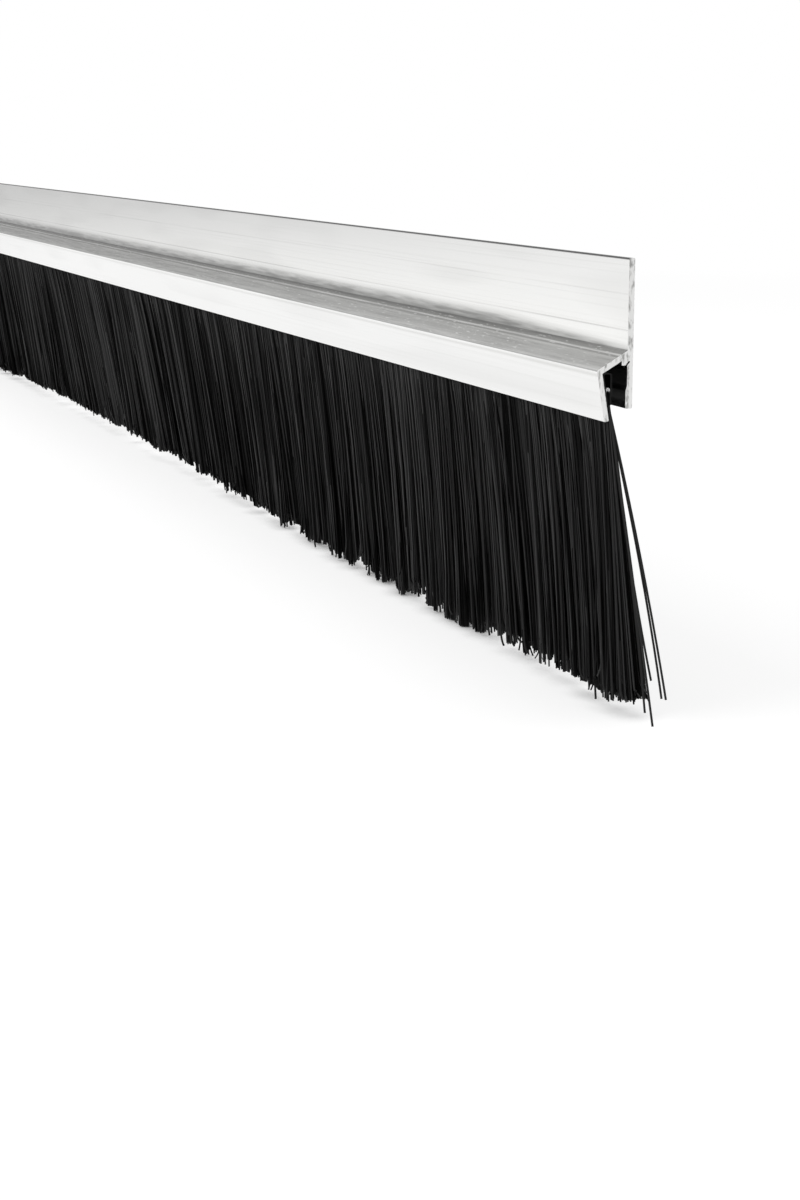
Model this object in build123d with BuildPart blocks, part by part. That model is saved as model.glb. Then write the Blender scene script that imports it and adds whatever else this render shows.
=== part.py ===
from build123d import *
import math
import os
import random

# A brush strip that seals the gap under a door, in millimetres.
# The length runs along X, the door is behind the strip on the +Y side, and Z is up.
# The origin is the centre of the face that lies against the door.

# Strip
STRIP_LENGTH = 1000.0

# Carrier profile
FLANGE_HEIGHT = 36.0
FLANGE_WALL = 1.5
SHELF_BELOW_TOP = 22.0
SHELF_SLOPE = 29.5
SHELF_WALL = 1.4
PROFILE_DEPTH = 9.5
LIP_HEIGHT = 12.5
LIP_LEAN = 9.6
LIP_WALL = 1.25
LIP_NOSE_RADIUS = 0.6
POCKET_RADIUS = 0.3
EDGE_RADIUS = 0.2
LEG_STEP = 0.35
LEG_STEP_RISE = 1.2
LEG_STEP_BELOW_TOP = 30.5
LUG_WIDTH = 1.5
LUG_HEIGHT = 1.5
GROOVE_WIDTH = 0.4
GROOVE_DEPTH = 1.1
GROOVE_ANGLE = 50.0

# Channel of the strip brush
CHANNEL_SHEET = 0.3
CHANNEL_HEIGHT = 7.6
CHANNEL_MOUTH = 1.15
CHANNEL_BEND_RADIUS = 0.6
CHANNEL_CLEARANCE = 0.05

# Wire and bristle pack
WIRE_DIAMETER = 0.5
WIRE_ABOVE_MOUTH = 3.6
WIRE_CLEARANCE = 0.02
PACK_CLEARANCE = 0.03

# Bristle curtain
BRISTLE_DROP = 75.0
FAN_FRONT_ANGLE = 5.9
FAN_BACK_ANGLE = 9.9
LOCK_PITCH = 5.0
RIDGE_AT_TIPS = 0.4
TIP_WANDER = 1.6
TIP_WANDER_LENGTH = 430.0
TIP_RAGGEDNESS = 1.6
LOCK_SEED = 7


def shift(point, along, angle):
    """Moves a section point by a distance, at an angle from the +Y direction."""
    turn = math.radians(angle)
    return (point[0] + along * math.cos(turn), point[1] + along * math.sin(turn))


# Places of the section, as (Y, Z)
half_length = STRIP_LENGTH / 2
flange_top = FLANGE_HEIGHT / 2
leg_bottom = -FLANGE_HEIGHT / 2
shelf_rise = math.tan(math.radians(SHELF_SLOPE))
lean_run = math.tan(math.radians(LIP_LEAN))
shelf_upright_wall = SHELF_WALL / math.cos(math.radians(SHELF_SLOPE))
lip_level_wall = LIP_WALL / math.cos(math.radians(LIP_LEAN))

shelf_root_z = flange_top - SHELF_BELOW_TOP
nose_z = shelf_root_z - (PROFILE_DEPTH - FLANGE_WALL) * shelf_rise
nose = (-PROFILE_DEPTH, nose_z)
lip_bottom_front = (-PROFILE_DEPTH + LIP_HEIGHT * lean_run, nose_z - LIP_HEIGHT)
lip_bottom_back = shift(lip_bottom_front, LIP_WALL, LIP_LEAN)


def underside_z(y):
    """Height of the shelf's underside at a distance from the door face."""
    return shelf_root_z + (y + FLANGE_WALL) * shelf_rise - shelf_upright_wall


def lip_back_y(z):
    """Place of the lip's inner face at a height."""
    return -PROFILE_DEPTH + lip_level_wall + (nose_z - z) * lean_run


pocket_corner_z = (
    shelf_root_z - shelf_upright_wall
    + (FLANGE_WALL - PROFILE_DEPTH + lip_level_wall + nose_z * lean_run) * shelf_rise
) / (1 + lean_run * shelf_rise)
pocket_corner = (lip_back_y(pocket_corner_z), pocket_corner_z)
step_top = flange_top - LEG_STEP_BELOW_TOP
leg_front_y = -FLANGE_WALL - LEG_STEP
lug_front_y = -FLANGE_WALL - LUG_WIDTH
lug_bottom = underside_z(-FLANGE_WALL - LUG_WIDTH / 2) - LUG_HEIGHT
flange_rims = [(0, flange_top), (-FLANGE_WALL, flange_top), (0, leg_bottom), (leg_front_y, leg_bottom)]
lip_rims = [lip_bottom_front, lip_bottom_back]


def corners_at(sketch, *points):
    """Corners of a sketch that lie at the points."""
    return [sketch.vertices().sort_by_distance(point)[0] for point in points]


# Carrier profile: flange, shelf, lip, leg and lug are one extrusion, cut square at both ends
with BuildPart() as carrier_profile:
    with BuildSketch(Plane.YZ) as section:
        with BuildLine():
            Polyline(
                (0, flange_top),
                (0, leg_bottom),
                (leg_front_y, leg_bottom),
                (leg_front_y, step_top - LEG_STEP_RISE),
                (-FLANGE_WALL, step_top),
                (-FLANGE_WALL, lug_bottom),
                (lug_front_y, lug_bottom),
                (lug_front_y, underside_z(lug_front_y)),
                pocket_corner,
                lip_bottom_back,
                lip_bottom_front,
                nose,
                (-FLANGE_WALL, shelf_root_z),
                (-FLANGE_WALL, flange_top),
                close=True,
            )
        make_face()
        fillet(corners_at(section, nose), radius=LIP_NOSE_RADIUS)
        fillet(corners_at(section, pocket_corner, (-FLANGE_WALL, shelf_root_z)), radius=POCKET_RADIUS)
        fillet(corners_at(section, *flange_rims, *lip_rims, (lug_front_y, lug_bottom)), radius=EDGE_RADIUS)
        groove_mouth = (-FLANGE_WALL - GROOVE_WIDTH / 2 / math.sin(math.radians(GROOVE_ANGLE)), lug_bottom)
        with Locations(groove_mouth):
            SlotCenterToCenter(2 * GROOVE_DEPTH, GROOVE_WIDTH, rotation=GROOVE_ANGLE, mode=Mode.SUBTRACT)
    extrude(amount=half_length, both=True)
carrier_profile.part.label = "carrier_profile"

# Channel: thin sheet folded over the bristles, its front wall against the lip, its back wall upright
sheet_offset = CHANNEL_CLEARANCE + CHANNEL_SHEET / 2
channel_top = underside_z(pocket_corner[0] + CHANNEL_BEND_RADIUS) - CHANNEL_CLEARANCE - CHANNEL_SHEET
channel_mouth = channel_top - CHANNEL_HEIGHT


def sheet_front_y(z):
    """Middle of the channel's front wall at a height."""
    return lip_back_y(z) + sheet_offset / math.cos(math.radians(LIP_LEAN))


sheet_back_y = sheet_front_y(channel_mouth) + CHANNEL_MOUTH - CHANNEL_SHEET
with BuildPart() as brush_channel:
    with BuildSketch(Plane.YZ):
        with BuildLine() as fold:
            FilletPolyline(
                (sheet_front_y(channel_mouth), channel_mouth),
                (sheet_front_y(channel_top), channel_top),
                (sheet_back_y, channel_top),
                (sheet_back_y, channel_mouth),
                radius=CHANNEL_BEND_RADIUS,
            )
        trace(line_width=CHANNEL_SHEET)
    extrude(amount=half_length, both=True)
brush_channel.part.label = "brush_channel"

# Core wire: runs inside the fold of the bristles
bristle_gap = CHANNEL_SHEET / 2 + PACK_CLEARANCE
pack_back_y = sheet_back_y - bristle_gap


def pack_front_y(z):
    """Front of the pack inside the channel at a height."""
    return sheet_front_y(z) + bristle_gap / math.cos(math.radians(LIP_LEAN))


wire_z = channel_mouth + WIRE_ABOVE_MOUTH
wire_y = (pack_front_y(wire_z) + pack_back_y) / 2
with BuildPart() as core_wire:
    with BuildSketch(Plane.YZ):
        with Locations((wire_y, wire_z)):
            Circle(WIRE_DIAMETER / 2)
    extrude(amount=half_length, both=True)
core_wire.part.label = "core_wire"

# Bristle curtain: locks side by side, pinched at the channel's mouth and fanned out towards ragged tips
chance = random.Random(LOCK_SEED)
half_locks = 2 * round(STRIP_LENGTH / LOCK_PITCH)
tip_level = channel_mouth - BRISTLE_DROP
fan_front_run = math.tan(math.radians(FAN_FRONT_ANGLE))
fan_back_run = math.tan(math.radians(FAN_BACK_ANGLE))


def curtain_column(i):
    """Corners of one upright line of the curtain, in turn: mouth front, tip front, tip back, mouth back."""
    x = -half_length + i * STRIP_LENGTH / half_locks
    on_ridge = 1 if i % 2 else -1
    wander = TIP_WANDER * math.sin(math.tau * x / TIP_WANDER_LENGTH)
    tip_z = tip_level + wander - on_ridge * chance.uniform(0, TIP_RAGGEDNESS)
    drop = channel_mouth - tip_z
    ridge = on_ridge * chance.uniform(RIDGE_AT_TIPS / 2, RIDGE_AT_TIPS)
    return (
        Vector(x, pack_front_y(channel_mouth), channel_mouth),
        Vector(x, pack_front_y(channel_mouth) + drop * fan_front_run - ridge, tip_z),
        Vector(x, pack_back_y + drop * fan_back_run + ridge, tip_z),
        Vector(x, pack_back_y, channel_mouth),
    )


def facet(*corners):
    """Flat face with the given corners."""
    return Face(Wire.make_polygon(corners))


columns = [curtain_column(i) for i in range(half_locks + 1)]
facets = [facet(*columns[0]), facet(*columns[-1])]
for near, far in zip(columns, columns[1:]):
    for k in range(4):
        after = (k + 1) % 4
        facets.append(facet(near[k], near[after], far[after]))
        facets.append(facet(near[k], far[after], far[k]))
curtain = Solid(Shell(facets))

# Bristles: the curtain, and the fold over the wire that holds it in the channel
with BuildPart() as bristles:
    add(curtain)
    with BuildSketch(Plane.YZ):
        with BuildLine():
            Polyline(
                (pack_front_y(wire_z), wire_z),
                (pack_front_y(channel_mouth), channel_mouth),
                (pack_back_y, channel_mouth),
                (pack_back_y, wire_z),
            )
            ThreePointArc(
                (pack_back_y, wire_z),
                (wire_y, wire_z + pack_back_y - wire_y),
                (pack_front_y(wire_z), wire_z),
            )
        make_face()
        with Locations((wire_y, wire_z)):
            Circle(WIRE_DIAMETER / 2 + WIRE_CLEARANCE, mode=Mode.SUBTRACT)
    extrude(amount=half_length, both=True)
bristles.part.label = "bristles"

os.makedirs("parts", exist_ok=True)
for piece in (carrier_profile, brush_channel, core_wire, bristles):
    export_step(piece.part, f"parts/{piece.part.label}.step")
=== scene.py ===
import math

import bpy
import numpy as np
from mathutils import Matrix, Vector
from mathutils.kdtree import KDTree


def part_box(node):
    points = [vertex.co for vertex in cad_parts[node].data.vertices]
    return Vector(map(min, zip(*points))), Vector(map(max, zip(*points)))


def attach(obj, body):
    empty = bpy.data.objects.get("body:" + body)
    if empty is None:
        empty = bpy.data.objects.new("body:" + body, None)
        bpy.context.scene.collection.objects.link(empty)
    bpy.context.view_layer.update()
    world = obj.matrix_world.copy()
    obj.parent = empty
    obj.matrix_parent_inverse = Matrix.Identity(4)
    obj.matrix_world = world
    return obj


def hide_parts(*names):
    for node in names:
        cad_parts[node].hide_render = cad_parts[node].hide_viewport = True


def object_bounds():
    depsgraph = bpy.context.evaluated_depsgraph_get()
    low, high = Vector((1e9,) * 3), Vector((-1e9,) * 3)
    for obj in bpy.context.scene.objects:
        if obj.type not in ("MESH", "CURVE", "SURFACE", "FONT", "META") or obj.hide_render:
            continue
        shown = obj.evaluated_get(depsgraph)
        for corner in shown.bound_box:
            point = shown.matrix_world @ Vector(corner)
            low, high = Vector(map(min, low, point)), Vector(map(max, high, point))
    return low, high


# A door bottom brush: an aluminium carrier with a black nylon bristle curtain.
# The strip runs along X, the door is on the +Y side, and Z is up. Lengths are in metres.
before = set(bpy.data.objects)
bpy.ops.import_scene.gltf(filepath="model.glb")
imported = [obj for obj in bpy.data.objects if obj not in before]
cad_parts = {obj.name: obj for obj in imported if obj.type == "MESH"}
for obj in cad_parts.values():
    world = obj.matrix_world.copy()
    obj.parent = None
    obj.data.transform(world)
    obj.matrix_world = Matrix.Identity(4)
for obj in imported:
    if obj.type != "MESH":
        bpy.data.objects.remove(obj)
cad_low, cad_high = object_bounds()

MM = 0.001

# Camera, in the strip's frame: its place, its angles in degrees, and its lens and film in mm
CAMERA_PLACE = (977.6 * MM, -236.7 * MM, 47.4 * MM)
CAMERA_DOWN = 12.01
CAMERA_LEFT_OF_Y = 69.68
CAMERA_LENS = 66.0
FRAME_LONG_SIDE = 36.0
CAMERA_NEAR = 0.05
CAMERA_FAR = 50.0

# Filaments: the real ones are thinner and more numerous, and these are as coarse as they need to be to show
FILAMENT_WIDTH = 0.36 * MM
TIP_WIDTH = 0.48 * MM
FILAMENT_SIDES = 4
FOLDED_FILAMENTS = 6400
STRETCHES = 6
BRISTLE_SEED = 11
# Share of the filaments in the last stretch before each end, where they stand closer
END_SHARE = 0.022
END_STRETCH = 6.0 * MM
# Stations along a free end, from its tip at 0 to the channel's mouth at 1
PLAIN_STATIONS = (0.0, 0.2, 0.5, 0.8, 1.0)
CURLED_STATIONS = (0.0, 0.018, 0.036, 0.06, 0.09, 0.14, 0.3, 0.55, 0.8, 1.0)
# The fold over the core wire: its stations in degrees round it, and how far its sides run down from there
FOLD_TURNS = (0, 45, 90, 135, 180)
FOLD_SIDE = 0.8 * MM

# Where the ends hang through the curtain's depth, from 0 at the front to 1 at the back. They are dealt out
# by the golden section, which spreads them evenly, and the wall in the middle ends higher than the rest
EVEN_STEP = (math.sqrt(5) - 1) / 2
WALL_SHARE = 0.5
WALL_RISE = 1.2 * MM
BACK_SHARE = 0.52
BACK_CROWDING = 0.7

# Locks and clumps, which the filaments cling to: their size and how far they draw a tip in, then how much
# they differ in lean along the strip, in place through its depth, in length and in shade
# Their shades make some locks and clumps paler, as painted highlight
LOCKS = {"size": 9.0 * MM, "pull": 0.1, "lean": 2.6 * MM, "depth": 1.0 * MM, "rag": 1.0 * MM, "shade": 0.15}
CLUMPS = {"size": 1.7 * MM, "pull": 0.72, "lean": 0.9 * MM, "depth": 0.5 * MM, "rag": 0.9 * MM, "shade": 0.4}

# How much single tips differ: in lean, in standing forward, and in length
LOOSE_LEAN = 0.45 * MM
LOOSE_DEPTH = 0.9 * MM
LOOSE_RAG = 0.12 * MM
LONG_EXTRA = 2.5 * MM
# Powers of an even chance: the higher, the fewer tips stand forward, hang long or are pale
FORWARD_RARITY = 4
LONG_RARITY = 40
PALE_RARITY = 3

# Bow of the free ends between mouth and tip, and how much it differs along and across the strip
BOW = 0.7 * MM
BOW_ALONG = 0.5
BOW_ACROSS = 0.3
ALONG_BOW = 2.0 * MM
BACK_BOW = 0.5 * MM
# How far the tips, and then the whole bristles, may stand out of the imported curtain
FRONT_PROUD = 3.0 * MM
BACK_PROUD = 0.35 * MM
BACK_MOST = 0.25 * MM
# The strip is cut square, so the last bristles hardly follow their locks and clumps
SQUARE_END = 6.0 * MM
LEAST_HOLD = 0.05

# Curled ends: how many there are, and how much longer they may be. Then their hooks: how long they are,
# how far they turn in radians and go sideways, the share of that across the strip, and how far they lift
CURLED_SHARE = 0.16
CURLED_EXTRA = 1.2 * MM
CURL_REACH = (3.0 * MM, 9.0 * MM)
CURL_TURN = (0.5, 1.5)
CURL_SIDE = 0.55
CURL_DEPTH = 0.35
CURL_LIFT = 0.6

# Shades of the filaments, where 0 is the deepest black, 1 the palest and 2 a sawn end
# Paler shades are painted highlight on filaments that catch the light, and the inner wall's darker shade is
# painted shade
OWN_SHADE = 0.9
WALL_PAINTED_SHADE = 0.3
SHADE_FROM = 0.25
SHADE_RANGE = 0.8
FOLD_SHADE = 0.3
FOLD_END_SHADE = 0.1
SAWN_SHADE = 2.0
SAWN_REACH = 0.5 * MM

# Tables along the strip: a place in metres from its middle, and a value in mm. The first is how far the
# tips lean towards the near end
LEANS_OF_TIPS = (
    (-0.5, 4), (-0.38, 21), (-0.06, 22), (0.1, 17), (0.18, 9), (0.26, 0), (0.33, 3), (0.38, -5), (0.43, 2),
    (0.5, 0),
)
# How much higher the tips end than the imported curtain's
LEVELS_OF_TIPS = (
    (-0.5, -2.2), (-0.32, -2.2), (-0.25, 0.8), (-0.18, 2.4), (-0.01, 3.3), (0.03, 0.0), (0.07, -0.5),
    (0.12, 0.1), (0.152, -2.6), (0.19, 0.3), (0.22, -0.9), (0.247, -2.6), (0.275, -0.2), (0.3, 0.8),
    (0.325, -2.7), (0.348, 0.9), (0.37, -1.5), (0.39, -3.9), (0.409, 1.1), (0.427, -0.5), (0.444, 0.3),
    (0.461, -0.4), (0.476, -4.7), (0.491, -1.0), (0.5, -1.1),
)
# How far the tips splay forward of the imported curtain's
SPLAYS_OF_TIPS = (
    (0.23, 0), (0.25, 0.4), (0.3, 0), (0.325, 1.6), (0.35, 0.5), (0.37, 1.1), (0.39, 2.6), (0.41, 0.3),
    (0.45, 0.4), (0.476, 2.5), (0.492, 1.0), (0.5, 0.4),
)
# How ragged the tips are, where the value is a scale: more so towards the near end
RAGS_OF_TIPS = ((-0.5, 0.45), (0.0, 0.55), (0.3, 1.0), (0.5, 1.0))

# Loose bristles at the near end, in mm: root along X, a place half way down, and the tip
LOOSE_BRISTLES = (
    (499.4, (503.0, 1.85, -54.9), (507.5, 7.3, -89.6)),
    (499.0, (502.6, 1.85, -56.5), (506.5, 6.6, -89.5)),
    (499.7, (500.2, 0.0, -54.3), (500.4, 6.7, -86.3)),
    (499.8, (504.6, -1.6, -55.8), (514.4, 0.3, -94.0)),
    (499.7, (500.6, -0.5, -52.6), (502.0, 4.4, -94.0)),
)
# Longer bristles before the curtain's front, in mm: tip along X, its level, and how far its end hooks back
LONG_BRISTLES = (
    (254.5, -95.4, 0.2), (401.5, -93.7, 0.2), (413.5, -92.9, 0.2), (423.0, -94.1, 0.6), (430.0, -92.8, 0.8),
    (434.0, -91.4, 1.6), (439.5, -92.7, 0.8), (451.5, -90.7, 0.2), (459.5, -90.1, 0.3), (470.0, -92.4, 1.0),
    (475.5, -92.2, 1.8), (484.5, -94.2, 0.0), (489.5, -92.8, 1.8), (494.5, -91.9, 0.0), (499.0, -91.3, 0.6),
)
LONG_FRONT = -0.8 * MM
# Both kinds are drawn a little thicker than the rest, so that single ones show
LOOSE_WIDTH = 0.6 * MM
LOOSE_SIDES = 8
# Their paler shade is painted highlight along the single bristles
LOOSE_SHADE = 0.4
LOOSE_STATIONS = (0.0, 0.008, 0.016, 0.025, 0.036, 0.05, 0.12, 0.2, 0.3, 0.4, 0.5, 0.6, 0.7, 0.8, 0.9, 1.0)
# The share of a long bristle that hooks back at its tip, and how far the hook lifts, for each mm back
HOOK_SHARE = 0.05
HOOK_LIFT = 0.5

# Streaks on the metal: length along the strip and width, in mm, then the noise levels at which they start
# and are full, and their strength, with one detail for the noise of all but the soft patches. The edges
# of the bands waver by up to 0.2 mm
STREAK_DETAIL = 2.5
WAVER = (90, 4.0, 0.2, 0.8, 0.2 * MM)
# Patches of painted shade in the corner, and the breaks in the fine lines on the flange
CORNER_SHADE_PATCHES = (16, 0.9, 0.36, 0.6, 0.85)
LINE_BREAKS = (70, 2.0, 0.3, 0.6, 1.0)
# Real die lines are about 0.05 mm apart: these are drawn 0.7 mm wide, so that they show
DIE_LINES = (300, 0.7, 0.52, 0.8, 0.12)
# Handling leaves patches about as wide as a fingertip, rubbed streaks on the shelf, and nicks 2 to 4 mm long
SOFT_PATCHES = (60, 7.0, 0.5, 0.75, 0.1)
SHELF_SMUDGES = (30, 0.9, 0.42, 0.66, 0.55)
NICKS = (3.5, 0.5, 0.63, 0.68, 1.0)
# Rolling marks on the channel's sheet, and scores on the wire, drawn coarser than the real 0.02 mm
SHEET_WEAR = (120, 0.6, 0.3, 0.7, 1.0)
WIRE_SCORES = (40, 0.12, 0.3, 0.7, 1.0)
NICK_DEPTH = 0.02 * MM
NICK_STRENGTH = 0.2

# Tones of the extruded surface, by distance in mm from the inner corner of flange and shelf, darker towards
# the corner as painted shade
BAND_REACH = 24.0
FLANGE_TONES = (
    (0.2, "#8A8A88"),
    (0.8, "#9A9A98"),
    (1.6, "#B2B2B0"),
    (2.4, "#CECECC"),
    (3.2, "#E2E2E0"),
    (4.4, "#F6F6F4"),
    (24.0, "#FCFCFB"),
)
# On the shelf, a pale line, and at the lip's nose a painted highlight with a grey line beside it
SHELF_TONES = (
    (0.3, "#AFAFAD"),
    (1.7, "#A5A5A3"),
    (2.1, "#FFFFFE"),
    (2.4, "#FFFFFE"),
    (2.7, "#A9A9A7"),
    (3.1, "#B4B4B2"),
    (3.5, "#E4E4E2"),
    (4.6, "#DADAD8"),
    (5.3, "#D0D0CE"),
    (7.4, "#DADAD8"),
    (8.7, "#EFEFED"),
    (9.5, "#F6F6F5"),
    (9.8, "#DADAD8"),
    (10.1, "#EDEDEC"),
)
# Fine straight lines on the flange, by the same distance: their strength
FLANGE_LINES = ((4.4, 0.0), (4.7, 0.8), (5.0, 0.0), (13.0, 0.0), (13.3, 0.35), (13.6, 0.0))
# The band of painted shade on the flange narrows over the last stretch before the sawn end
NARROWING_FROM = 80.0 * MM
NARROWING = 2.2 * MM
# Where a finish starts and where it is full. The corner's painted shade and the shelf's marks go by the
# distance in mm from the corner, and the others by the depth from the flange's front, from its back and from
# its top edge
CORNER_SHADE_EDGE = (3.4, 1.2)
MARKS_EDGE = (9.6, 8.8)
SHELF_EDGE = (0.1 * MM, 0.4 * MM)
BACK_EDGE = (0.2 * MM, 0.1 * MM)
TOP_EDGE = (0.5 * MM, 0.25 * MM)

# Smears on the sawn ends: their size, and the noise levels at which they start and are full. The noise is
# raised beside the flange's front and lowered further off
SMEAR_SIZE = (0.9 * MM, 0.9 * MM, 2.0 * MM)
SMEAR_LEVELS = (0.46, 0.68)
SMEAR_SHIFTS = (0.05, -0.03)
SMEAR_REACH = 0.8 * MM
SMEAR_DETAIL = 2.0
# A face whose normal's X is above this is a sawn one
SAWN_FACING = 0.85

BACK_ALUMINIUM = "#E2E2E0"
# Painted shade in patches in the inner corner
CORNER_SHADE_ALUMINIUM = "#6E6E6C"
SCORED_ALUMINIUM = "#C4C4C2"
SMUDGED_ALUMINIUM = "#A6A6A4"
SCRATCHED_ALUMINIUM = "#FCFCFB"
# Painted shade along the flange's top edge
PAINTED_SHADE_EDGE = "#5A5A5A"
SAWN_ALUMINIUM = "#FBFBFA"
SMEARED_ALUMINIUM = "#B8B8B6"
DARK_STEEL = "#161617"
WORN_STEEL = "#262627"
CUT_STEEL = "#2C2C2C"
DRAWN_STEEL = "#D0D0D0"
SCORED_STEEL = "#9C9C9E"
# Nylon from deepest black to the lit grey of painted highlight, and a sawn end
DEEP_NYLON = "#010101"
LIT_NYLON = "#464646"
SAWN_NYLON = "#E0E0E0"
FLOOR_WHITE = "#F2F2F2"
WHITE = (1.0, 1.0, 1.0, 1.0)

# Roughness from plain to worn, or from dark to pale filaments, and that of a sawn end
EXTRUDED_ROUGHNESS = (0.21, 0.26)
SAWN_ROUGHNESS = 0.55
SHEET_ROUGHNESS = (0.42, 0.55)
WIRE_ROUGHNESS = (0.25, 0.4)
NYLON_ROUGHNESS = (0.6, 0.4)
NYLON_IOR = 1.53
# Turned down from nylon's own 0.5, because the curtain in the photograph has hardly any sheen
# The filaments' light streaks are painted highlight in their shade instead
NYLON_SHEEN = 0.045

# Floor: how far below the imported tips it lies, and the share by which tips that reach it are bent up again
FLOOR_BELOW_TIPS = 0.7 * MM
BENT_SHARE = 0.6
FLOOR_SIZE = 30.0
# It shows the strip's shadow up to here, and fades to plain white further off
SHADOW_REACH = 0.9
SHADOW_END = 1.6 * SHADOW_REACH
# The contact shadow under the tips, then the share of lamp light in the floor's look, and its own glow
CONTACT_REACH = 6.5 * MM
CONTACT_SAMPLES = 8
FLOOR_SHARE_LIT = 0.35
FLOOR_GLOW = 1.08
# In reflections it dims away from the lamps: from and to a distance, from and to a strength
MIRRORED_FLOOR = {"From Min": 0.8, "From Max": 3.8, "To Min": 1.07, "To Max": 0.57}

# What the metal mirrors above the horizon: sine of the height and grey level
STUDIO_LEVELS = ((0.0, 0.61), (0.06, 0.5), (0.12, 0.4), (0.19, 0.41), (0.27, 0.5), (0.42, 0.64))
# Strength of the light that falls on the strip from all round
STUDIO_LIGHT = 0.6
# Lamps: name, place, the point that they face, size and power in watts
SOFTBOXES = (
    ("key_softbox", (0.2, -1.6, 1.5), (0.2, 0, 0), 1.6, 26.0),
    ("top_softbox", (0.3, 0.4, 2.0), (0.3, 0, 0), 1.4, 14.0),
)

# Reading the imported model: how near a point counts as on a face or at the mouth, how far above the lip's
# nose the corner is looked for, and over how many columns the level of the tips is smoothed
SAME_FACE = 0.02 * MM
NEAR_MOUTH = 0.5 * MM
ABOVE_NOSE = 3.0 * MM
TIP_SMOOTHING = 9

# Places of the sockets of a colour Mix node
MIX_FACTOR, MIX_FIRST, MIX_SECOND, MIX_RESULT = 0, 6, 7, 2

# Inner corner of flange and shelf, where the flange's front face ends above the shelf
carrier_corners = np.array([v.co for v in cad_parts["carrier_profile"].data.vertices])
corner_y = carrier_corners[carrier_corners[:, 2] > 0][:, 1].min()
back_y = carrier_corners[:, 1].max()
nose_z = carrier_corners[carrier_corners[:, 1].argmin(), 2]
on_front = abs(carrier_corners[:, 1] - corner_y) < SAME_FACE
above_shelf = carrier_corners[:, 2] > nose_z + ABOVE_NOSE
corner_z = carrier_corners[on_front & above_shelf][:, 2].min()

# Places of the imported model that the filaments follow
wire_low, wire_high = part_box("core_wire")
wire_centre = (wire_low + wire_high) / 2
wire_radius = (wire_high.z - wire_low.z) / 2
half_length = cad_high.x
mouth_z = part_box("brush_channel")[0].z
floor_z = cad_low.z - FLOOR_BELOW_TIPS
curtain_corners = np.array([v.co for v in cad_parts["bristles"].data.vertices])
at_mouth = curtain_corners[abs(curtain_corners[:, 2] - mouth_z) < NEAR_MOUTH]
at_tips = curtain_corners[curtain_corners[:, 2] < (mouth_z + cad_low.z) / 2]
mouth_front, mouth_back = at_mouth[:, 1].min(), at_mouth[:, 1].max()


def tip_lines():
    """X places of the curtain's columns, with the front, back and smoothed level of the tips at each."""
    columns = {}
    for x, y, z in at_tips:
        columns.setdefault(round(x / MM, 1), []).append((y, z))
    places = sorted(columns)
    front = [min(y for y, z in columns[x]) for x in places]
    back = [max(y for y, z in columns[x]) for x in places]
    level = np.pad([min(z for y, z in columns[x]) for x in places], TIP_SMOOTHING // 2, mode="edge")
    smooth = np.convolve(level, np.ones(TIP_SMOOTHING) / TIP_SMOOTHING, mode="valid")
    return np.array(places) * MM, np.array(front), np.array(back), smooth


tip_x, tip_front, tip_back, tip_level = tip_lines()
tip_depth = (tip_back - tip_front).mean()


def linear(colour):
    """Linear colour of an sRGB hex value."""
    values = [int(colour[i : i + 2], 16) / 255 for i in (1, 3, 5)]
    return tuple(v / 12.92 if v <= 0.04045 else ((v + 0.055) / 1.055) ** 2.4 for v in values) + (1.0,)


def grey(level):
    """Linear colour of a grey level."""
    return (level, level, level, 1.0)


def add_node(tree, kind, settings=None, inputs=None):
    """Adds a node with its settings; each input is given a value or is linked to another node's output."""
    node = tree.nodes.new(kind)
    for name, value in (settings or {}).items():
        setattr(node, name, value)
    for name, value in (inputs or {}).items():
        if isinstance(value, bpy.types.NodeSocket):
            tree.links.new(value, node.inputs[name])
        else:
            node.inputs[name].default_value = value
    return node


def fill_ramp(ramp, stops):
    """Gives a colour ramp its stops, each a place and a linear colour."""
    first, last = ramp.elements
    first.position, first.color = stops[0]
    last.position, last.color = stops[-1]
    for place, colour in stops[1:-1]:
        ramp.elements.new(place).color = colour


def new_material(name):
    """Empty material and its node tree."""
    material = bpy.data.materials.new(name)
    material.use_nodes = True
    material.node_tree.nodes.clear()
    return material, material.node_tree


def streaks(tree, along, across, low, high, strength, detail=STREAK_DETAIL):
    """Random streaks on the strip, about along mm long and across mm wide, from 0 up to their strength."""
    place = add_node(tree, "ShaderNodeTexCoord").outputs["Object"]
    scale = (1 / (along * MM), 1 / (across * MM), 1 / (across * MM))
    periods = add_node(tree, "ShaderNodeMapping", inputs={"Scale": scale, "Vector": place}).outputs["Vector"]
    pattern = {"Scale": 1.0, "Detail": detail, "Vector": periods}
    noise = add_node(tree, "ShaderNodeTexNoise", inputs=pattern).outputs["Fac"]
    levels = {"Value": noise, "From Min": low, "From Max": high, "To Max": strength}
    return add_node(tree, "ShaderNodeMapRange", inputs=levels).outputs["Result"]


def cut_faces(tree):
    """1 on the sawn ends of the strip and 0 along it."""
    normal = add_node(tree, "ShaderNodeNewGeometry").outputs["True Normal"]
    along = add_node(tree, "ShaderNodeSeparateXYZ", inputs={"Vector": normal}).outputs["X"]
    size = add_node(tree, "ShaderNodeMath", {"operation": "ABSOLUTE"}, {0: along}).outputs["Value"]
    sawn = add_node(tree, "ShaderNodeMath", {"operation": "GREATER_THAN"}, {0: size, 1: SAWN_FACING})
    return sawn.outputs["Value"]


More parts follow.
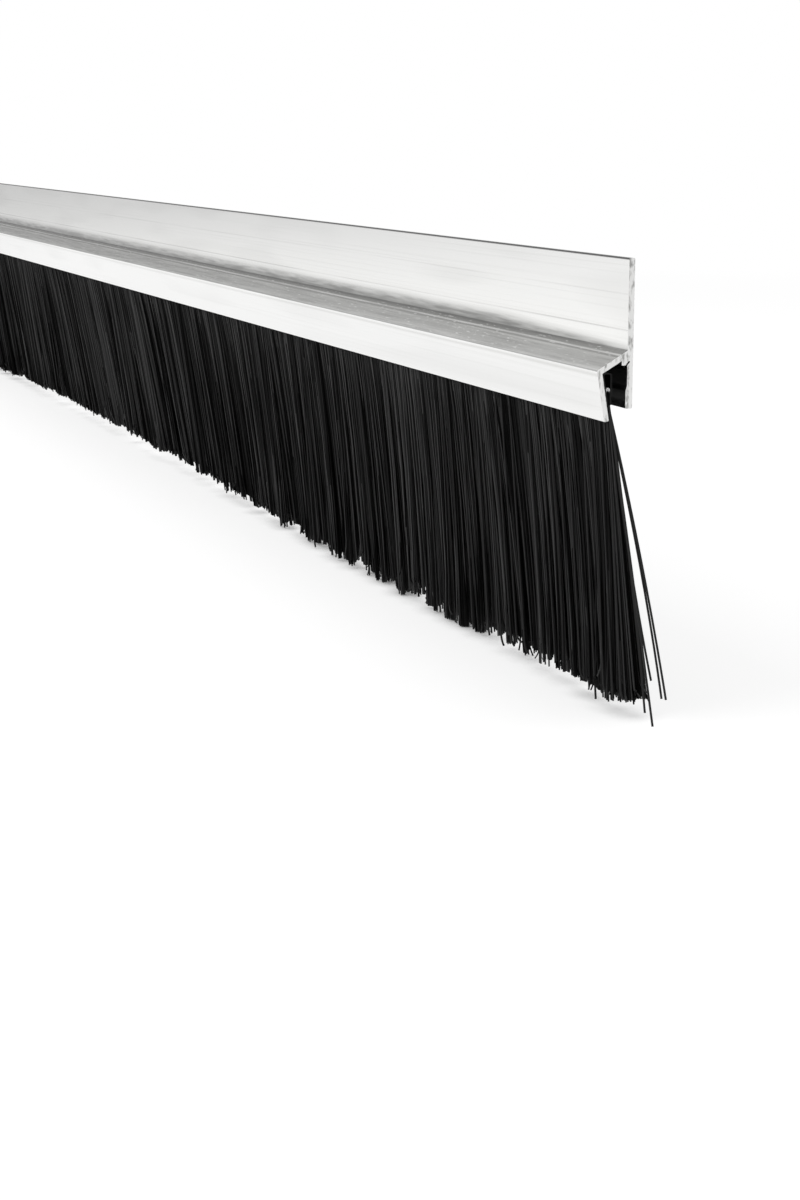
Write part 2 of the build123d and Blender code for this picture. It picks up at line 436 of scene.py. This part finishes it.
def corner_distances(tree, place):
    """Distances from the inner corner of flange and shelf, as shares of the bands' reach.

    They are straight, wavering by 0.2 mm, and wavering but larger towards the sawn end, where the band of
    painted shade on the flange narrows.
    """
    section = add_node(tree, "ShaderNodeCombineXYZ", inputs={"Y": place["Y"], "Z": place["Z"]})
    ends = {0: section.outputs["Vector"], 1: (0, corner_y, corner_z)}
    straight = add_node(tree, "ShaderNodeVectorMath", {"operation": "DISTANCE"}, ends).outputs["Value"]
    sides = {0: straight, 1: streaks(tree, *WAVER)}
    wavering = add_node(tree, "ShaderNodeMath", {"operation": "ADD"}, sides).outputs["Value"]
    shares = []
    for distance in (straight, wavering):
        sides = {0: distance, 1: BAND_REACH * MM}
        shares.append(add_node(tree, "ShaderNodeMath", {"operation": "DIVIDE"}, sides).outputs["Value"])
    straight, wavering = shares
    towards_end = {
        "Value": place["X"],
        "From Min": half_length - NARROWING_FROM,
        "From Max": half_length,
        "To Max": NARROWING / (BAND_REACH * MM),
    }
    sides = {0: wavering, 1: add_node(tree, "ShaderNodeMapRange", inputs=towards_end).outputs["Result"]}
    narrowed = add_node(tree, "ShaderNodeMath", {"operation": "ADD"}, sides).outputs["Value"]
    return straight, wavering, narrowed


def sawn_tones(tree, vector, across):
    """Tone of the carrier's sawn ends: bright, with smears, most of them beside the flange's front."""
    mapping = {"Scale": [1 / size for size in SMEAR_SIZE], "Vector": vector}
    periods = add_node(tree, "ShaderNodeMapping", inputs=mapping).outputs["Vector"]
    pattern = {"Scale": 1.0, "Detail": SMEAR_DETAIL, "Vector": periods}
    noise = add_node(tree, "ShaderNodeTexNoise", inputs=pattern).outputs["Fac"]
    sides = {0: across, 1: corner_y}
    inward = add_node(tree, "ShaderNodeMath", {"operation": "SUBTRACT"}, sides).outputs["Value"]
    off_face = add_node(tree, "ShaderNodeMath", {"operation": "ABSOLUTE"}, {0: inward}).outputs["Value"]
    beside, away = SMEAR_SHIFTS
    shifts = {"Value": off_face, "From Max": SMEAR_REACH, "To Min": beside, "To Max": away}
    sides = {0: noise, 1: add_node(tree, "ShaderNodeMapRange", inputs=shifts).outputs["Result"]}
    level = add_node(tree, "ShaderNodeMath", {"operation": "ADD"}, sides).outputs["Value"]
    low, high = SMEAR_LEVELS
    levels = {"Value": level, "From Min": low, "From Max": high}
    smears = add_node(tree, "ShaderNodeMapRange", inputs=levels).outputs["Result"]
    tones = {MIX_FACTOR: smears, MIX_FIRST: linear(SAWN_ALUMINIUM), MIX_SECOND: linear(SMEARED_ALUMINIUM)}
    return add_node(tree, "ShaderNodeMix", {"data_type": "RGBA"}, tones).outputs[MIX_RESULT]


def mill_finish_aluminium():
    """Aluminium as it leaves the extrusion die.

    It gives the eye a satin metal with bands and fine lines along its length. Painted shade darkens the
    inner corner and the flange's top edge, and a painted highlight runs along the lip's nose. It is smudged
    and nicked by handling, and paler at the sawn ends.
    """
    material, tree = new_material("mill_finish_aluminium")
    vector = add_node(tree, "ShaderNodeTexCoord").outputs["Object"]
    place = add_node(tree, "ShaderNodeSeparateXYZ", inputs={"Vector": vector}).outputs
    straight, wavering, narrowed = corner_distances(tree, place)

    # Tones in bands beside the corner: painted shade, darker towards it, a painted highlight at the lip's
    # nose, and fine lines up the flange
    ramps = []
    for distance, stops in (
        (narrowed, [(at, linear(tone)) for at, tone in FLANGE_TONES]),
        (wavering, [(at, linear(tone)) for at, tone in SHELF_TONES]),
        (straight, [(at, grey(strength)) for at, strength in FLANGE_LINES]),
    ):
        ramp = add_node(tree, "ShaderNodeValToRGB", inputs={"Fac": distance})
        fill_ramp(ramp.color_ramp, [(at / BAND_REACH, colour) for at, colour in stops])
        ramps.append(ramp.outputs["Color"])
    flange_tone, shelf_tone, line = ramps

    # The regions of the finishes
    regions = []
    for value, start, full in (
        (narrowed, *[edge / BAND_REACH for edge in CORNER_SHADE_EDGE]),
        (wavering, *[edge / BAND_REACH for edge in MARKS_EDGE]),
        (place["Y"], *[corner_y - edge for edge in SHELF_EDGE]),
        (place["Y"], *[back_y - edge for edge in BACK_EDGE]),
        (place["Z"], *[cad_high.z - edge for edge in TOP_EDGE]),
    ):
        limits = {"Value": value, "From Min": start, "From Max": full}
        regions.append(add_node(tree, "ShaderNodeMapRange", inputs=limits).outputs["Result"])
    in_corner, before_nose, off_flange, on_back, shaded_top = regions

    # Painted shade in patches in the corner, broken lines on the flange, and nicks on the shelf 2 to 4 mm
    # long
    products = []
    for first, second in (
        (in_corner, streaks(tree, *CORNER_SHADE_PATCHES)),
        (line, streaks(tree, *LINE_BREAKS)),
        (before_nose, off_flange),
    ):
        sides = {0: first, 1: second}
        products.append(add_node(tree, "ShaderNodeMath", {"operation": "MULTIPLY"}, sides).outputs["Value"])
    corner_shade, lines, on_shelf = products
    sides = {0: streaks(tree, *NICKS), 1: on_shelf}
    nicks = add_node(tree, "ShaderNodeMath", {"operation": "MULTIPLY"}, sides).outputs["Value"]

    # Smudges from handling: streaks on the shelf, and soft patches on the other faces
    patches = {
        "Factor": on_shelf,
        "A": streaks(tree, *SOFT_PATCHES, detail=0.0),
        "B": streaks(tree, *SHELF_SMUDGES),
    }
    smudges = add_node(tree, "ShaderNodeMix", {"data_type": "FLOAT"}, patches).outputs["Result"]

    # The back that lies against the door has no bands, and the flange's top edge is painted dark, as painted
    # shade
    die_lines = streaks(tree, *DIE_LINES)
    cut = cut_faces(tree)
    colour = flange_tone
    for amount, coat in (
        (corner_shade, linear(CORNER_SHADE_ALUMINIUM)),
        (lines, linear(SCORED_ALUMINIUM)),
        (off_flange, shelf_tone),
        (on_back, linear(BACK_ALUMINIUM)),
        (die_lines, linear(SCORED_ALUMINIUM)),
        (smudges, linear(SMUDGED_ALUMINIUM)),
        (nicks, linear(SCRATCHED_ALUMINIUM)),
        (shaded_top, linear(PAINTED_SHADE_EDGE)),
        (cut, sawn_tones(tree, vector, place["Y"])),
    ):
        layers = {MIX_FACTOR: amount, MIX_FIRST: colour, MIX_SECOND: coat}
        colour = add_node(tree, "ShaderNodeMix", {"data_type": "RGBA"}, layers).outputs[MIX_RESULT]

    plain, scored = EXTRUDED_ROUGHNESS
    levels = {"Value": die_lines, "From Max": DIE_LINES[-1], "To Min": plain, "To Max": scored}
    satin = add_node(tree, "ShaderNodeMapRange", inputs=levels).outputs["Result"]
    finishes = {"Factor": cut, "A": satin, "B": SAWN_ROUGHNESS}
    rough = add_node(tree, "ShaderNodeMix", {"data_type": "FLOAT"}, finishes).outputs["Result"]
    relief = {"Strength": NICK_STRENGTH, "Distance": NICK_DEPTH, "Height": nicks}
    bump = add_node(tree, "ShaderNodeBump", inputs=relief).outputs["Normal"]
    metal = {"Metallic": 1.0, "Base Color": colour, "Roughness": rough, "Normal": bump}
    shader = add_node(tree, "ShaderNodeBsdfPrincipled", inputs=metal)
    add_node(tree, "ShaderNodeOutputMaterial", inputs={"Surface": shader.outputs["BSDF"]})
    return material


def phosphated_steel():
    """Thin sheet steel with a black phosphate coat: near black, and dull grey where it was cut."""
    material, tree = new_material("phosphated_steel")
    wear = streaks(tree, *SHEET_WEAR)
    colour = linear(DARK_STEEL)
    for amount, coat in ((wear, linear(WORN_STEEL)), (cut_faces(tree), linear(CUT_STEEL))):
        layers = {MIX_FACTOR: amount, MIX_FIRST: colour, MIX_SECOND: coat}
        colour = add_node(tree, "ShaderNodeMix", {"data_type": "RGBA"}, layers).outputs[MIX_RESULT]
    plain, worn = SHEET_ROUGHNESS
    levels = {"Value": wear, "To Min": plain, "To Max": worn}
    rough = add_node(tree, "ShaderNodeMapRange", inputs=levels).outputs["Result"]
    metal = {"Metallic": 1.0, "Base Color": colour, "Roughness": rough}
    shader = add_node(tree, "ShaderNodeBsdfPrincipled", inputs=metal)
    add_node(tree, "ShaderNodeOutputMaterial", inputs={"Surface": shader.outputs["BSDF"]})
    return material


def drawn_steel_wire():
    """Steel wire pulled through a die: bright, with fine scores along it."""
    material, tree = new_material("drawn_steel_wire")
    scores = streaks(tree, *WIRE_SCORES)
    layers = {MIX_FACTOR: scores, MIX_FIRST: linear(DRAWN_STEEL), MIX_SECOND: linear(SCORED_STEEL)}
    colour = add_node(tree, "ShaderNodeMix", {"data_type": "RGBA"}, layers).outputs[MIX_RESULT]
    plain, scored = WIRE_ROUGHNESS
    levels = {"Value": scores, "To Min": plain, "To Max": scored}
    rough = add_node(tree, "ShaderNodeMapRange", inputs=levels).outputs["Result"]
    metal = {"Metallic": 1.0, "Base Color": colour, "Roughness": rough}
    shader = add_node(tree, "ShaderNodeBsdfPrincipled", inputs=metal)
    add_node(tree, "ShaderNodeOutputMaterial", inputs={"Surface": shader.outputs["BSDF"]})
    return material


def drawn_nylon():
    """Black nylon monofilament, spun and drawn: a faint sheen, some clumps paler as painted highlight, and
    grey where sawn.
    """
    material, tree = new_material("drawn_nylon")
    shade = add_node(tree, "ShaderNodeAttribute", {"attribute_name": "shade"}).outputs["Fac"]
    sides = {0: shade, 1: SAWN_SHADE}
    share = add_node(tree, "ShaderNodeMath", {"operation": "DIVIDE"}, sides).outputs["Value"]
    tone = add_node(tree, "ShaderNodeValToRGB", inputs={"Fac": share})
    tones = [(0.0, linear(DEEP_NYLON)), (1 / SAWN_SHADE, linear(LIT_NYLON)), (1.0, linear(SAWN_NYLON))]
    fill_ramp(tone.color_ramp, tones)
    dark, pale = NYLON_ROUGHNESS
    levels = {"Value": shade, "To Min": dark, "To Max": pale}
    finish = {
        "IOR": NYLON_IOR,
        "Specular IOR Level": NYLON_SHEEN,
        "Base Color": tone.outputs["Color"],
        "Roughness": add_node(tree, "ShaderNodeMapRange", inputs=levels).outputs["Result"],
    }
    shader = add_node(tree, "ShaderNodeBsdfPrincipled", inputs=finish)
    add_node(tree, "ShaderNodeOutputMaterial", inputs={"Surface": shader.outputs["BSDF"]})
    return material


def painted_floor():
    """Matt white floor: it keeps the strip's shadow, and is plain white further off and in reflections."""
    material, tree = new_material("painted_floor")
    rays = add_node(tree, "ShaderNodeLightPath").outputs
    place = add_node(tree, "ShaderNodeTexCoord").outputs["Object"]
    off = add_node(tree, "ShaderNodeVectorMath", {"operation": "LENGTH"}, {0: place}).outputs["Value"]
    limits = {"Value": off, "From Min": SHADOW_REACH, "From Max": SHADOW_END}
    far = add_node(tree, "ShaderNodeMapRange", inputs=limits).outputs["Result"]
    matt = add_node(tree, "ShaderNodeBsdfDiffuse", inputs={"Color": linear(FLOOR_WHITE)}).outputs["BSDF"]
    contact = add_node(
        tree, "ShaderNodeAmbientOcclusion", {"samples": CONTACT_SAMPLES}, {"Distance": CONTACT_REACH}
    ).outputs["Color"]
    dimmed = add_node(tree, "ShaderNodeMapRange", inputs={"Value": off, **MIRRORED_FLOOR}).outputs["Result"]
    glows = []
    for colour, strength in ((WHITE, 1.0), (contact, FLOOR_GLOW), (WHITE, dimmed)):
        glow = add_node(tree, "ShaderNodeEmission", inputs={"Color": colour, "Strength": strength})
        glows.append(glow.outputs["Emission"])
    white, bright, reflected = glows
    sides = {0: rays["Is Glossy Ray"], 1: rays["Is Transmission Ray"]}
    mirrored = add_node(tree, "ShaderNodeMath", {"operation": "MAXIMUM"}, sides).outputs["Value"]

    # For the camera it is overexposed white, darker only close under the tips, and plain white further off.
    # Light bounces off the matt floor, and mirrors show the dimmed one
    layers = {0: FLOOR_SHARE_LIT, 1: bright, 2: matt}
    near = add_node(tree, "ShaderNodeMixShader", inputs=layers).outputs["Shader"]
    shown = add_node(tree, "ShaderNodeMixShader", inputs={0: far, 1: near, 2: white}).outputs["Shader"]
    layers = {0: rays["Is Camera Ray"], 1: matt, 2: shown}
    lit = add_node(tree, "ShaderNodeMixShader", inputs=layers).outputs["Shader"]
    layers = {0: mirrored, 1: lit, 2: reflected}
    floor = add_node(tree, "ShaderNodeMixShader", inputs=layers).outputs["Shader"]
    add_node(tree, "ShaderNodeOutputMaterial", inputs={"Surface": floor})
    return material


def mesh_object(name, corners, faces, material, shade=None):
    """Object of a mesh from corners and faces, smooth shaded, with an optional shade for each corner."""
    mesh = bpy.data.meshes.new(name)
    mesh.from_pydata(corners.tolist(), [], faces)
    if shade is not None:
        mesh.attributes.new("shade", "FLOAT", "POINT").data.foreach_set("value", shade.astype(np.float32))
    mesh.polygons.foreach_set("use_smooth", np.ones(len(mesh.polygons), bool))
    mesh.materials.append(material)
    piece = bpy.data.objects.new(name, mesh)
    bpy.context.scene.collection.objects.link(piece)
    return piece


def along_strip(table, x):
    """Value of a table at places along the strip."""
    places, values = zip(*table)
    return np.interp(x, places, values)


class Gathering:
    """Locks or clumps: points across the tips that filaments cling to, with their lean, length and shade."""

    def __init__(self, chance, size, pull, lean, depth, rag, shade):
        count = int(2 * half_length * tip_depth / size**2)
        self.pull = pull
        self.x = chance.uniform(-half_length, half_length, count)
        self.y = chance.uniform(0, tip_depth, count)
        self.leans = chance.normal(0, lean, count)
        self.depths = chance.normal(0, depth, count)
        self.rags = chance.normal(0, rag, count)
        self.shades = shade * chance.uniform(0, 1, count)
        self.places = KDTree(count)
        for i in range(count):
            self.places.insert((self.x[i], self.y[i], 0), i)
        self.places.balance()

    def nearest(self, x, y):
        """Number of the point nearest to each place."""
        return np.array([self.places.find((px, py, 0))[1] for px, py in zip(x, y)])


def free_ends(root_x, share, cling, stations, gatherings, curl, chance):
    """Paths of free bristle ends, from the tips up to the channel's mouth, and the shade of each.

    share is the place through the curtain's depth, from 0 at the front to 1 at the back, and cling is how
    far an end follows its lock and clump.
    """
    count = len(root_x)
    from_end = half_length - abs(root_x)
    hold = cling * np.clip(from_end / SQUARE_END, LEAST_HOLD, 1)
    plain_x = root_x + MM * along_strip(LEANS_OF_TIPS, root_x)
    plain_y = share * np.interp(plain_x, tip_x, tip_back - tip_front)
    end_x = plain_x + cling * chance.normal(0, LOOSE_LEAN, count)
    end_y = plain_y - cling * LOOSE_DEPTH * chance.uniform(0, 1, count) ** FORWARD_RARITY
    rag = cling * chance.normal(0, LOOSE_RAG, count) + (1 - cling) * WALL_RISE
    rag -= cling * LONG_EXTRA * chance.uniform(0, 1, count) ** LONG_RARITY
    # Painted highlight makes a few ends paler, and painted shade makes the inner wall darker
    shade = OWN_SHADE * chance.uniform(0, 1, count) ** PALE_RARITY - WALL_PAINTED_SHADE * (1 - cling)
    for group in gatherings:
        mine = group.nearest(plain_x, plain_y)
        end_x += hold * (group.pull * (group.x[mine] - plain_x) + group.leans[mine])
        end_y += hold * (group.pull * (group.y[mine] - plain_y) + group.depths[mine])
        rag += hold * group.rags[mine]
        shade += group.shades[mine]
    end_y -= (1 - share) * hold * MM * along_strip(SPLAYS_OF_TIPS, end_x)
    front = np.interp(end_x, tip_x, tip_front)
    back = np.interp(end_x, tip_x, tip_back)
    end_y = np.clip(front + end_y, front - FRONT_PROUD, back + BACK_PROUD)

    # A tip that would end under the floor is bent up again by most of that
    level = np.interp(end_x, tip_x, tip_level) + MM * along_strip(LEVELS_OF_TIPS, end_x)
    above_floor = level + rag * along_strip(RAGS_OF_TIPS, end_x) - floor_z
    bent = np.where(above_floor < 0, -BENT_SHARE * above_floor, above_floor)
    end_z = floor_z + np.maximum(bent, FILAMENT_WIDTH / 2)

    root_y = mouth_front + FILAMENT_WIDTH / 2 + share * (mouth_back - mouth_front - FILAMENT_WIDTH)
    up = np.asarray(stations)[None, :]
    down = 1 - up
    bow = np.sin(np.pi * up) * BOW * hold[:, None]
    back_bow = np.sin(np.pi * up**2) * BACK_BOW * share[:, None]
    along_bow = 4 * up * down * ALONG_BOW * hold[:, None]
    bow_x = bow * chance.normal(0, BOW_ALONG, count)[:, None]
    bow_y = bow * chance.normal(0, BOW_ACROSS, count)[:, None]
    x = root_x[:, None] + down * (end_x - root_x)[:, None] + bow_x + along_bow
    y = root_y[:, None] + down * (end_y - root_y)[:, None] + bow_y + back_bow
    z = mouth_z + down * (end_z - mouth_z)[:, None]
    path = np.stack([x, y, z], axis=-1) + curl
    path[:, :, 1] = np.minimum(path[:, :, 1], cad_high.y + BACK_MOST)
    path[:, :, 2] = np.maximum(path[:, :, 2], floor_z + FILAMENT_WIDTH / 2)
    return path, np.clip((shade - SHADE_FROM) / SHADE_RANGE, 0, 1)


def curls(count, stations, chance):
    """Offsets that bend the last few millimetres of a bristle sideways and up, as a hook."""
    reach = chance.uniform(*CURL_REACH, count)[:, None]
    from_tip = np.asarray(stations)[None, :] * (mouth_z - tip_level.mean())
    along = np.clip(1 - from_tip / reach, 0, 1)
    turn = chance.uniform(*CURL_TURN, count)[:, None]
    heading = chance.uniform(0, math.tau, count)[:, None]
    longer = chance.uniform(0, CURLED_EXTRA, count)[:, None]
    side = reach * along**2 * np.sin(turn) * CURL_SIDE
    lift = reach * along**2 * (1 - np.cos(turn)) * CURL_LIFT - longer * along
    return np.stack([side * np.cos(heading), side * np.sin(heading) * CURL_DEPTH, lift], axis=-1)


def folds(root_x):
    """Stations of the fold: up beside the core wire, over it and down the other side."""
    radius = wire_radius + FILAMENT_WIDTH / 2
    turns = np.pad(np.radians(FOLD_TURNS), 1, mode="edge")
    below = np.pad(np.zeros(len(FOLD_TURNS)), 1, constant_values=FOLD_SIDE)
    x = np.repeat(root_x[:, None], len(turns), axis=1)
    y = np.broadcast_to(wire_centre.y - radius * np.cos(turns), x.shape)
    z = np.broadcast_to(wire_centre.z + radius * np.sin(turns) - below, x.shape)
    return np.stack([x, y, z], axis=-1)


def tubes(paths, width, sides):
    """Corners and faces of round filaments that follow paths, with their ends cut square.

    width is one value, or one for each station of the paths.
    """
    count, rings, _ = paths.shape
    along = np.gradient(paths, axis=1)
    along /= np.linalg.norm(along, axis=2, keepdims=True)
    across = np.array([1.0, 0, 0]) - along * along[:, :, :1]
    across /= np.linalg.norm(across, axis=2, keepdims=True)
    other = np.cross(along, across)
    turns = np.arange(sides) * math.tau / sides
    ring = np.cos(turns)[:, None] * across[:, :, None, :] + np.sin(turns)[:, None] * other[:, :, None, :]
    width = np.broadcast_to(width, rings)[None, :, None, None]
    corners = (paths[:, :, None, :] + ring * width / 2).reshape(-1, 3)
    start = (np.arange(count) * rings * sides)[:, None]
    first = start[:, :, None] + (np.arange(rings - 1) * sides)[None, :, None]
    k = np.arange(sides)[None, None, :]
    after = (k + 1) % sides
    walls = np.stack([first + k, first + after, first + sides + after, first + sides + k], axis=-1)
    near_cap = start + np.arange(sides)[::-1]
    far_cap = start + (rings - 1) * sides + np.arange(sides)
    return corners, walls.reshape(-1, 4), np.concatenate([near_cap, far_cap])


def folded_filaments(root_x, number, curled, gatherings, chance):
    """Corners, walls, caps and shades of whole bristles: a front end, the fold over the wire and a back end.

    The back end of every second one hangs in the middle of the curtain, as an even wall that closes it.
    """
    count = len(root_x)
    stations = CURLED_STATIONS if curled else PLAIN_STATIONS
    even = (number * EVEN_STEP) % 1
    in_wall = number % 2 == 0
    behind_wall = WALL_SHARE + BACK_SHARE * even**BACK_CROWDING
    shares = (WALL_SHARE * even, np.where(in_wall, WALL_SHARE, behind_wall))
    clings = (np.ones(count), np.where(in_wall, 0.0, 1.0))
    paths, shades = [], []
    for share, cling in zip(shares, clings):
        curl = curls(count, stations, chance) * cling[:, None, None] if curled else 0.0
        path, shade = free_ends(root_x, share, cling, stations, gatherings, curl, chance)
        paths.append(path)
        shades.append(np.repeat(shade[:, None], len(stations), axis=1))
    fold = folds(root_x)
    sawn = np.where(half_length - root_x < SAWN_REACH, SAWN_SHADE, FOLD_SHADE)
    fold_shade = np.repeat(sawn[:, None], fold.shape[1], axis=1)
    fold_shade[:, [0, -1]] = FOLD_END_SHADE
    path = np.concatenate([paths[0], fold, paths[1][:, ::-1]], axis=1)
    shade = np.concatenate([shades[0], fold_shade, shades[1]], axis=1)
    end_width = np.interp(stations, (0, 1), (TIP_WIDTH, FILAMENT_WIDTH))
    fold_width = np.full(fold.shape[1], FILAMENT_WIDTH)
    width = np.concatenate([end_width, fold_width, end_width[::-1]])
    return *tubes(path, width, FILAMENT_SIDES), np.repeat(shade.ravel(), FILAMENT_SIDES)


def bristle_stretches(material):
    """The curtain, in stretches along the strip."""
    chance = np.random.default_rng(BRISTLE_SEED)
    gatherings = (Gathering(chance, **LOCKS), Gathering(chance, **CLUMPS))
    inset = half_length - FILAMENT_WIDTH / 2
    root_places = (-inset, END_STRETCH - half_length, half_length - END_STRETCH, inset)
    roots = np.interp(np.linspace(0, 1, FOLDED_FILAMENTS), (0, END_SHARE, 1 - END_SHARE, 1), root_places)
    numbers = np.arange(FOLDED_FILAMENTS)
    pieces = []
    for i, mine in enumerate(np.array_split(numbers, STRETCHES)):
        is_curled = chance.uniform(0, 1, len(mine)) < CURLED_SHARE
        corners, faces, shades = [], [], []
        so_far = 0
        for chosen, curled in ((mine[~is_curled], False), (mine[is_curled], True)):
            filaments = folded_filaments(roots[chosen], chosen, curled, gatherings, chance)
            tube_corners, walls, caps, shade = filaments
            corners.append(tube_corners)
            faces += (walls + so_far).tolist() + (caps + so_far).tolist()
            shades.append(shade)
            so_far += len(tube_corners)
        name = f"bristle_stretch_{i + 1}"
        pieces.append(mesh_object(name, np.concatenate(corners), faces, material, np.concatenate(shades)))
    return pieces


def bowed(root, middle, tip, t):
    """Smooth bow from a tip, at t = 0, through a middle to a root, at t = 1."""
    bend = 2 * middle - (root + tip) / 2
    return tip * (1 - t) ** 2 + 2 * bend * t * (1 - t) + root * t**2


def loose_bristles(material):
    """Single bristles: some spring clear of the curtain's near end, and some hang below its front."""
    t = np.array(LOOSE_STATIONS)[:, None]
    paths = []
    for root_x, middle, tip in LOOSE_BRISTLES:
        root = np.array([root_x * MM, mouth_back - FILAMENT_WIDTH / 2, mouth_z])
        paths.append(bowed(root, np.array(middle) * MM, np.array(tip) * MM, t))
    turned = np.clip(1 - t[:, 0] / HOOK_SHARE, 0, 1)
    for tip_at, level, hook in LONG_BRISTLES:
        tip = np.array([tip_at * MM, LONG_FRONT, level * MM])
        root_x = tip[0] - MM * along_strip(LEANS_OF_TIPS, tip[0])
        root = np.array([root_x, mouth_front + LOOSE_WIDTH / 2, mouth_z])
        path = bowed(root, (root + tip) / 2, tip, t)
        path[:, 1] += hook * MM * turned**2
        path[:, 2] += HOOK_LIFT * hook * MM * turned**3
        paths.append(path)
    corners, walls, caps = tubes(np.array(paths), LOOSE_WIDTH, LOOSE_SIDES)
    shade = np.full(len(corners), LOOSE_SHADE)
    return mesh_object("loose_bristles", corners, walls.tolist() + caps.tolist(), material, shade)


def set_material(node, material):
    """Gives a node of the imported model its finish."""
    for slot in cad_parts[node].material_slots:
        slot.material = material


def make_object():
    """Dresses the strip."""
    set_material("carrier_profile", mill_finish_aluminium())
    set_material("brush_channel", phosphated_steel())
    set_material("core_wire", drawn_steel_wire())
    nylon = drawn_nylon()
    for piece in [*bristle_stretches(nylon), loose_bristles(nylon)]:
        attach(piece, "root")
        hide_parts("bristles")


def make_floor():
    """Pale floor, far larger than the view."""
    half = FLOOR_SIZE / 2
    corners = np.array([(-half, -half, 0), (half, -half, 0), (half, half, 0), (-half, half, 0)])
    floor = mesh_object("floor", corners, [(0, 1, 2, 3)], painted_floor())
    floor.location.z = floor_z


def make_world():
    """White all round for the camera; in reflections pale at the horizon and grey above, as in a studio."""
    world = bpy.data.worlds.new("studio")
    bpy.context.scene.world = world
    world.use_nodes = True
    tree = world.node_tree
    tree.nodes.clear()
    direction = add_node(tree, "ShaderNodeTexCoord").outputs["Generated"]
    height = add_node(tree, "ShaderNodeSeparateXYZ", inputs={"Vector": direction}).outputs["Z"]
    studio = add_node(tree, "ShaderNodeValToRGB", inputs={"Fac": height})
    fill_ramp(studio.color_ramp, [(place, grey(level)) for place, level in STUDIO_LEVELS])
    rays = add_node(tree, "ShaderNodeLightPath").outputs
    sides = {0: rays["Is Camera Ray"], 1: rays["Is Transmission Ray"]}
    seen = add_node(tree, "ShaderNodeMath", {"operation": "MAXIMUM"}, sides).outputs["Value"]
    level = STUDIO_LIGHT
    for amount, other in ((rays["Is Glossy Ray"], studio.outputs["Color"]), (seen, 1.0)):
        levels = {"Factor": amount, "A": level, "B": other}
        level = add_node(tree, "ShaderNodeMix", {"data_type": "FLOAT"}, levels).outputs["Result"]
    light = add_node(tree, "ShaderNodeBackground", inputs={"Color": WHITE, "Strength": level})
    add_node(tree, "ShaderNodeOutputWorld", inputs={"Surface": light.outputs["Background"]})


def add_softbox(name, place, aim, size, power):
    """Square soft light at a place, facing a point."""
    data = bpy.data.lights.new(name, "AREA")
    data.shape = "SQUARE"
    data.size = size
    data.energy = power
    lamp = bpy.data.objects.new(name, data)
    lamp.location = place
    lamp.rotation_euler = (Vector(aim) - Vector(place)).to_track_quat("-Z", "Y").to_euler()
    bpy.context.scene.collection.objects.link(lamp)


def make_camera():
    """The photograph's view: along the strip from its near end."""
    data = bpy.data.cameras.new("camera")
    data.lens = CAMERA_LENS
    data.sensor_width = FRAME_LONG_SIDE
    data.clip_start = CAMERA_NEAR
    data.clip_end = CAMERA_FAR
    camera = bpy.data.objects.new("camera", data)
    camera.location = CAMERA_PLACE
    camera.rotation_euler = (math.radians(90 - CAMERA_DOWN), 0, math.radians(CAMERA_LEFT_OF_Y))
    bpy.context.scene.collection.objects.link(camera)
    bpy.context.scene.camera = camera


make_object()
make_floor()
make_world()
for softbox in SOFTBOXES:
    add_softbox(*softbox)
make_camera()
bpy.context.scene.view_settings.view_transform = "Standard"
